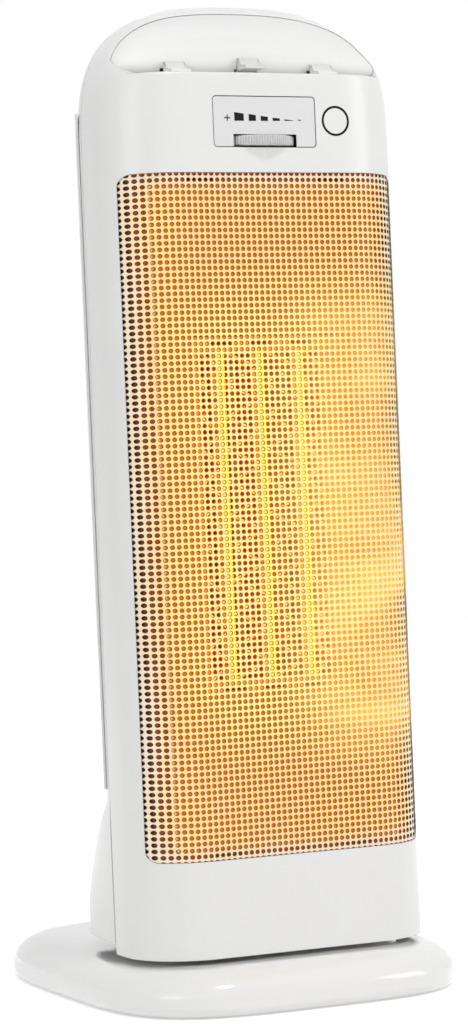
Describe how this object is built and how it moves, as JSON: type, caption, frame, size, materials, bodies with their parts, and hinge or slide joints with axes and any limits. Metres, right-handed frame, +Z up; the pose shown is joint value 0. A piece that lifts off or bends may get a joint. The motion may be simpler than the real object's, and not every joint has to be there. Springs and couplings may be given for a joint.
{
  "type": "tower fan heater",
  "caption": "Oscillating tower fan heater with a ceramic heating block behind a perforated front, on a swivel base.",
  "frame": {"origin": "on the floor, under the middle of the base", "axes": "+X to the heater's right as seen from the front, +Y to the back, +Z up; the grille faces -Y"},
  "size_m": [0.21, 0.264, 0.5475],
  "materials": {
    "shell": "satin white",
    "base": "glossy white",
    "panel": "satin pale grey",
    "grille": "cream, warm from the glow behind",
    "guide": "cream",
    "dark": "matte",
    "filter": "mesh",
    "tray": "matte",
    "steel": "satin",
    "motor": "satin",
    "ivory": "satin",
    "ceramic": "ceramic, matte",
    "fins": "bare, glowing orange",
    "rubber": "matte",
    "brass": "satin",
    "coil": "enamelled copper",
    "plunger": "satin"
  },
  "bodies": {
    "base": {"base_cover": "base", "base_plate": "tray", "rubber_feet": "rubber", "base_screws": "steel", "pivot_column": "ivory", "slide_ring": "ivory", "retaining_ring": "steel", "slot_arm": "steel", "cord_gland": "tray", "tip_switch": "dark"},
    "plunger": {"tip_plunger": "plunger"},
    "tower": {"chassis": "tray", "swivel_bush": "ivory", "front_shell": "shell", "rear_cover": "shell", "inlet_panel": "shell", "inlet_filter": "filter", "top_cover": "shell", "grille": "grille", "air_guide": "guide", "control_panel": "panel", "thermostat": "ivory", "switch_left": "dark", "switch_middle": "dark", "switch_right": "dark", "switch_bracket": "steel", "swing_motor": "motor", "motor_bracket": "steel", "ceramic_bars": "ceramic", "fins": "fins", "heater_cap_low": "dark", "heater_cap_top": "dark", "heater_rails": "steel", "heater_terminals": "steel", "thermal_cutout": "steel", "fan_motor": "motor", "motor_coil": "coil", "deck_low": "tray", "deck_top": "tray", "shaft_bearing": "brass", "scroll_wall": "tray", "scroll_tongue": "tray", "terminal_block": "ivory", "wire_loom": "dark", "case_screws": "steel"},
    "crank": {"crank": "ivory"},
    "key_left": {"key_left": "shell"},
    "key_middle": {"key_middle": "shell"},
    "key_right": {"key_right": "shell"},
    "thumbwheel": {"thumbwheel": "panel"},
    "fan": {"fan_wheel": "dark", "fan_shaft": "steel", "fan_rotor": "motor"}
  },
  "joints": [
    {"name": "body_swing", "type": "hinge", "parent": "base", "child": "tower", "pos_m": [0, -0.025, 0.035], "axis": [0, 0, 1], "range_deg": [-35, 35]},
    {"name": "crank_turn", "type": "hinge", "parent": "tower", "child": "crank", "pos_m": [0, -0.057, 0.046], "axis": [0, 0, 1], "range_deg": [-105.5, 105.5]},
    {"name": "thumbwheel_turn", "type": "hinge", "parent": "tower", "child": "thumbwheel", "pos_m": [-0.0014, -0.0795, 0.468], "axis": [0, 0, 1], "range_deg": [-135, 135]},
    {"name": "key_left_press", "type": "slide", "parent": "tower", "child": "key_left", "axis": [0, 0, 1], "range_m": [0, 0.0027]},
    {"name": "key_middle_press", "type": "slide", "parent": "tower", "child": "key_middle", "axis": [0, 0, 1], "range_m": [-0.0027, 0]},
    {"name": "key_right_press", "type": "slide", "parent": "tower", "child": "key_right", "axis": [0, 0, 1], "range_m": [0, 0.0027]},
    {"name": "fan_spin", "type": "hinge", "parent": "tower", "child": "fan", "pos_m": [0, -0.039, 0.265], "axis": [0, 0, 1], "continuous": true},
    {"name": "tip_slide", "type": "slide", "parent": "base", "child": "plunger", "axis": [0, 0, 1], "range_m": [-0.004, 0], "stiffness_N_per_m": 20, "springref_m": -0.006}
  ],
  "couplings": [
    {"joint": "crank_turn", "follows": "body_swing", "ratio": -3}
  ]
}
